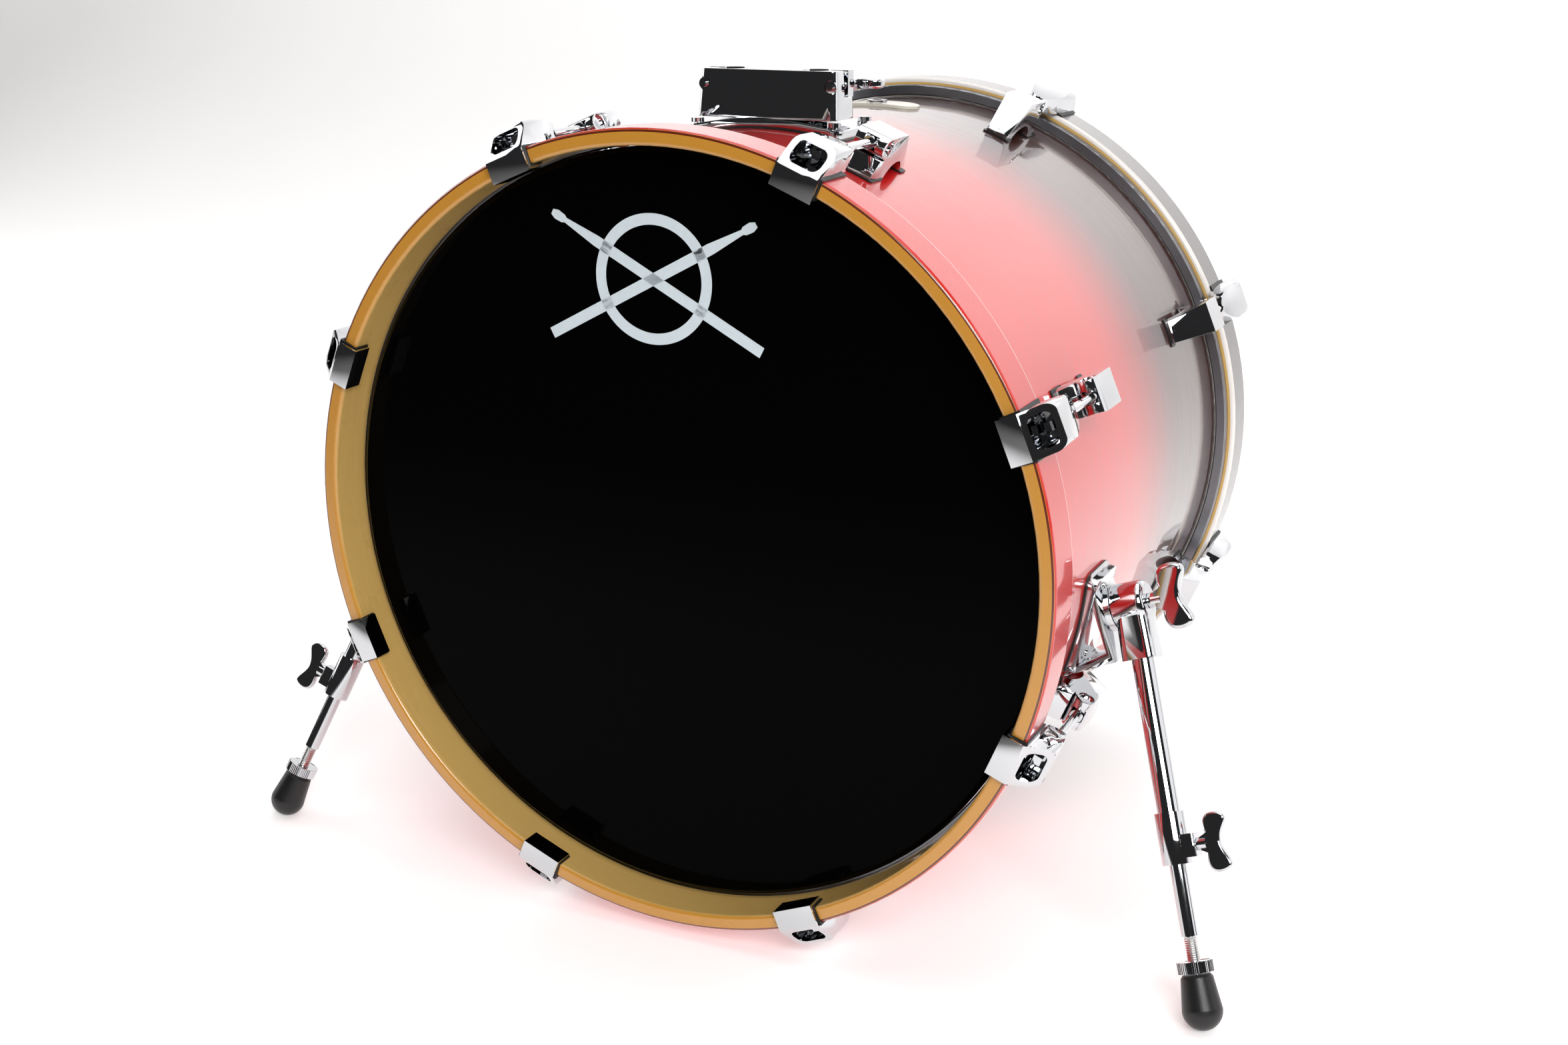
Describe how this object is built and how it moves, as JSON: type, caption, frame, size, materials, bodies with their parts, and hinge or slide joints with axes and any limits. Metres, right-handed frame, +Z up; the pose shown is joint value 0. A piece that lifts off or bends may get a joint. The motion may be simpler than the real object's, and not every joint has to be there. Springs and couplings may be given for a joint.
{
  "type": "bass drum",
  "caption": "Bass drum with wood hoops, claw hooks, bridge lugs, a top mount for tom arms and folding, telescoping spurs.",
  "frame": {"origin": "on the floor, under the middle of the drum", "axes": "+Z up, -Y the way that the front head faces, +X to the right seen from the front"},
  "size_m": [0.816, 0.5414, 0.6196],
  "materials": {
    "shell_lacquer": "high-gloss lacquer over maple, red fading to black at the rear",
    "front_hoop_wood": "gloss lacquered maple, natural inside and on the edge, red outside",
    "rear_hoop_wood": "gloss lacquered maple, natural edge, black outside",
    "front_film": "mirror-gloss black polyester film",
    "batter_film": "coated white polyester film",
    "flesh_hoop": "satin rolled aluminium",
    "chrome": "polished chrome plate",
    "zinc_steel": "zinc-plated steel",
    "rubber": "satin black rubber",
    "badge_plate": "pale satin plate with a dark edge"
  },
  "bodies": {
    "drum": {"shell": "shell_lacquer", "front_head": "front_film", "rear_head": "batter_film", "front_flesh_hoop": "flesh_hoop", "rear_flesh_hoop": "flesh_hoop", "front_hoop": "front_hoop_wood", "rear_hoop": "rear_hoop_wood", "front_claws": "chrome", "rear_claws": "chrome", "claw_gaskets": "rubber", "front_lugs": "chrome", "rear_lugs": "chrome", "swivel_nuts": "chrome", "lug_gaskets": "rubber", "lug_screws": "zinc_steel", "tom_base": "chrome", "tom_gasket": "rubber", "tom_housing": "chrome", "tom_clamp_jaws": "chrome", "tom_key_bolts": "chrome", "tom_base_screws": "chrome", "badge": "badge_plate", "vent_grommet": "chrome", "spur_brackets": "chrome", "spur_gaskets": "rubber", "spur_screws": "zinc_steel"},
    "spur_leg_left": {"spur_socket_left": "chrome", "spur_tube_left": "chrome", "spur_collar_left": "chrome"},
    "spur_inner_rod_left": {"spur_rod_left": "chrome"},
    "spur_lock_nut_left": {"spur_lock_nut_left": "chrome"},
    "spur_foot_left": {"spur_foot_left": "rubber"},
    "spur_pivot_bolt_left": {"spur_pivot_bolt_left": "chrome"},
    "spur_clamp_screw_left": {"spur_clamp_screw_left": "chrome"},
    "tom_wing_bolt_left": {"tom_wing_bolt_left": "chrome"},
    "spur_leg_right": {"spur_socket_right": "chrome", "spur_tube_right": "chrome", "spur_collar_right": "chrome"},
    "spur_inner_rod_right": {"spur_rod_right": "chrome"},
    "spur_lock_nut_right": {"spur_lock_nut_right": "chrome"},
    "spur_foot_right": {"spur_foot_right": "rubber"},
    "spur_pivot_bolt_right": {"spur_pivot_bolt_right": "chrome"},
    "spur_clamp_screw_right": {"spur_clamp_screw_right": "chrome"},
    "tom_wing_bolt_right": {"tom_wing_bolt_right": "chrome"},
    "front_rod_1": {"front_rod_1": "chrome"},
    "front_rod_2": {"front_rod_2": "chrome"},
    "front_rod_3": {"front_rod_3": "chrome"},
    "front_rod_4": {"front_rod_4": "chrome"},
    "front_rod_5": {"front_rod_5": "chrome"},
    "front_rod_6": {"front_rod_6": "chrome"},
    "front_rod_7": {"front_rod_7": "chrome"},
    "front_rod_8": {"front_rod_8": "chrome"},
    "rear_rod_1": {"rear_rod_1": "chrome"},
    "rear_rod_2": {"rear_rod_2": "chrome"},
    "rear_rod_3": {"rear_rod_3": "chrome"},
    "rear_rod_4": {"rear_rod_4": "chrome"},
    "rear_rod_5": {"rear_rod_5": "chrome"},
    "rear_rod_6": {"rear_rod_6": "chrome"},
    "rear_rod_7": {"rear_rod_7": "chrome"},
    "rear_rod_8": {"rear_rod_8": "chrome"}
  },
  "joints": [
    {"name": "spur_fold_left", "type": "hinge", "parent": "drum", "child": "spur_leg_left", "pos_m": [-0.305, -0.11789, 0.26155], "axis": [0.9421, -0.0077, -0.3354], "range_deg": [-10, 105]},
    {"name": "spur_reach_left", "type": "slide", "parent": "spur_leg_left", "child": "spur_inner_rod_left", "axis": [-0.3148, -0.3656, -0.8759], "range_m": [-0.05, 0.045]},
    {"name": "spur_lock_nut_turn_left", "type": "hinge", "parent": "spur_inner_rod_left", "child": "spur_lock_nut_left", "pos_m": [-0.305, -0.11789, 0.26155], "axis": [-0.3148, -0.3656, -0.8759], "continuous": true},
    {"name": "spur_foot_turn_left", "type": "hinge", "parent": "spur_inner_rod_left", "child": "spur_foot_left", "pos_m": [-0.305, -0.11789, 0.26155], "axis": [-0.3148, -0.3656, -0.8759], "continuous": true},
    {"name": "spur_pivot_bolt_turn_left", "type": "hinge", "parent": "drum", "child": "spur_pivot_bolt_left", "pos_m": [-0.305, -0.11789, 0.26155], "axis": [-0.9421, 0.0077, 0.3354], "continuous": true},
    {"name": "spur_clamp_screw_turn_left", "type": "hinge", "parent": "spur_leg_left", "child": "spur_clamp_screw_left", "pos_m": [-0.35903, -0.18063, 0.11123], "axis": [-0.9421, 0.0077, 0.3354], "continuous": true},
    {"name": "tom_wing_bolt_turn_left", "type": "hinge", "parent": "drum", "child": "tom_wing_bolt_left", "pos_m": [-0.052, -0.06039, 0.60832], "axis": [0, 0.9997, -0.023], "continuous": true},
    {"name": "spur_fold_right", "type": "hinge", "parent": "drum", "child": "spur_leg_right", "pos_m": [0.305, -0.11789, 0.26155], "axis": [0.9421, 0.0077, 0.3354], "range_deg": [-10, 105]},
    {"name": "spur_reach_right", "type": "slide", "parent": "spur_leg_right", "child": "spur_inner_rod_right", "axis": [0.3148, -0.3656, -0.8759], "range_m": [-0.05, 0.045]},
    {"name": "spur_lock_nut_turn_right", "type": "hinge", "parent": "spur_inner_rod_right", "child": "spur_lock_nut_right", "pos_m": [0.305, -0.11789, 0.26155], "axis": [0.3148, -0.3656, -0.8759], "continuous": true},
    {"name": "spur_foot_turn_right", "type": "hinge", "parent": "spur_inner_rod_right", "child": "spur_foot_right", "pos_m": [0.305, -0.11789, 0.26155], "axis": [0.3148, -0.3656, -0.8759], "continuous": true},
    {"name": "spur_pivot_bolt_turn_right", "type": "hinge", "parent": "drum", "child": "spur_pivot_bolt_right", "pos_m": [0.305, -0.11789, 0.26155], "axis": [0.9421, 0.0077, 0.3354], "continuous": true},
    {"name": "spur_clamp_screw_turn_right", "type": "hinge", "parent": "spur_leg_right", "child": "spur_clamp_screw_right", "pos_m": [0.35903, -0.18063, 0.11123], "axis": [0.9421, 0.0077, 0.3354], "continuous": true},
    {"name": "tom_wing_bolt_turn_right", "type": "hinge", "parent": "drum", "child": "tom_wing_bolt_right", "pos_m": [0.052, -0.06039, 0.60832], "axis": [0, 0.9997, -0.023], "continuous": true},
    {"name": "front_rod_turn_1", "type": "hinge", "parent": "drum", "child": "front_rod_1", "pos_m": [0.11538, -0.19353, 0.58193], "axis": [0, -0.9997, 0.023], "continuous": true},
    {"name": "front_rod_turn_2", "type": "hinge", "parent": "drum", "child": "front_rod_2", "pos_m": [0.27855, -0.19729, 0.4188], "axis": [0, -0.9997, 0.023], "continuous": true},
    {"name": "front_rod_turn_3", "type": "hinge", "parent": "drum", "child": "front_rod_3", "pos_m": [0.27855, -0.20261, 0.1881], "axis": [0, -0.9997, 0.023], "continuous": true},
    {"name": "front_rod_turn_4", "type": "hinge", "parent": "drum", "child": "front_rod_4", "pos_m": [0.11538, -0.20636, 0.02498], "axis": [0, -0.9997, 0.023], "continuous": true},
    {"name": "front_rod_turn_5", "type": "hinge", "parent": "drum", "child": "front_rod_5", "pos_m": [-0.11538, -0.20636, 0.02498], "axis": [0, -0.9997, 0.023], "continuous": true},
    {"name": "front_rod_turn_6", "type": "hinge", "parent": "drum", "child": "front_rod_6", "pos_m": [-0.27855, -0.20261, 0.1881], "axis": [0, -0.9997, 0.023], "continuous": true},
    {"name": "front_rod_turn_7", "type": "hinge", "parent": "drum", "child": "front_rod_7", "pos_m": [-0.27855, -0.19729, 0.4188], "axis": [0, -0.9997, 0.023], "continuous": true},
    {"name": "front_rod_turn_8", "type": "hinge", "parent": "drum", "child": "front_rod_8", "pos_m": [-0.11538, -0.19353, 0.58193], "axis": [0, -0.9997, 0.023], "continuous": true},
    {"name": "rear_rod_turn_1", "type": "hinge", "parent": "drum", "child": "rear_rod_1", "pos_m": [0.11538, 0.20636, 0.57271], "axis": [0, 0.9997, -0.023], "continuous": true},
    {"name": "rear_rod_turn_2", "type": "hinge", "parent": "drum", "child": "rear_rod_2", "pos_m": [0.27855, 0.20261, 0.40958], "axis": [0, 0.9997, -0.023], "continuous": true},
    {"name": "rear_rod_turn_3", "type": "hinge", "parent": "drum", "child": "rear_rod_3", "pos_m": [0.27855, 0.19729, 0.17889], "axis": [0, 0.9997, -0.023], "continuous": true},
    {"name": "rear_rod_turn_4", "type": "hinge", "parent": "drum", "child": "rear_rod_4", "pos_m": [0.11538, 0.19353, 0.01576], "axis": [0, 0.9997, -0.023], "continuous": true},
    {"name": "rear_rod_turn_5", "type": "hinge", "parent": "drum", "child": "rear_rod_5", "pos_m": [-0.11538, 0.19353, 0.01576], "axis": [0, 0.9997, -0.023], "continuous": true},
    {"name": "rear_rod_turn_6", "type": "hinge", "parent": "drum", "child": "rear_rod_6", "pos_m": [-0.27855, 0.19729, 0.17889], "axis": [0, 0.9997, -0.023], "continuous": true},
    {"name": "rear_rod_turn_7", "type": "hinge", "parent": "drum", "child": "rear_rod_7", "pos_m": [-0.27855, 0.20261, 0.40958], "axis": [0, 0.9997, -0.023], "continuous": true},
    {"name": "rear_rod_turn_8", "type": "hinge", "parent": "drum", "child": "rear_rod_8", "pos_m": [-0.11538, 0.20636, 0.57271], "axis": [0, 0.9997, -0.023], "continuous": true}
  ]
}
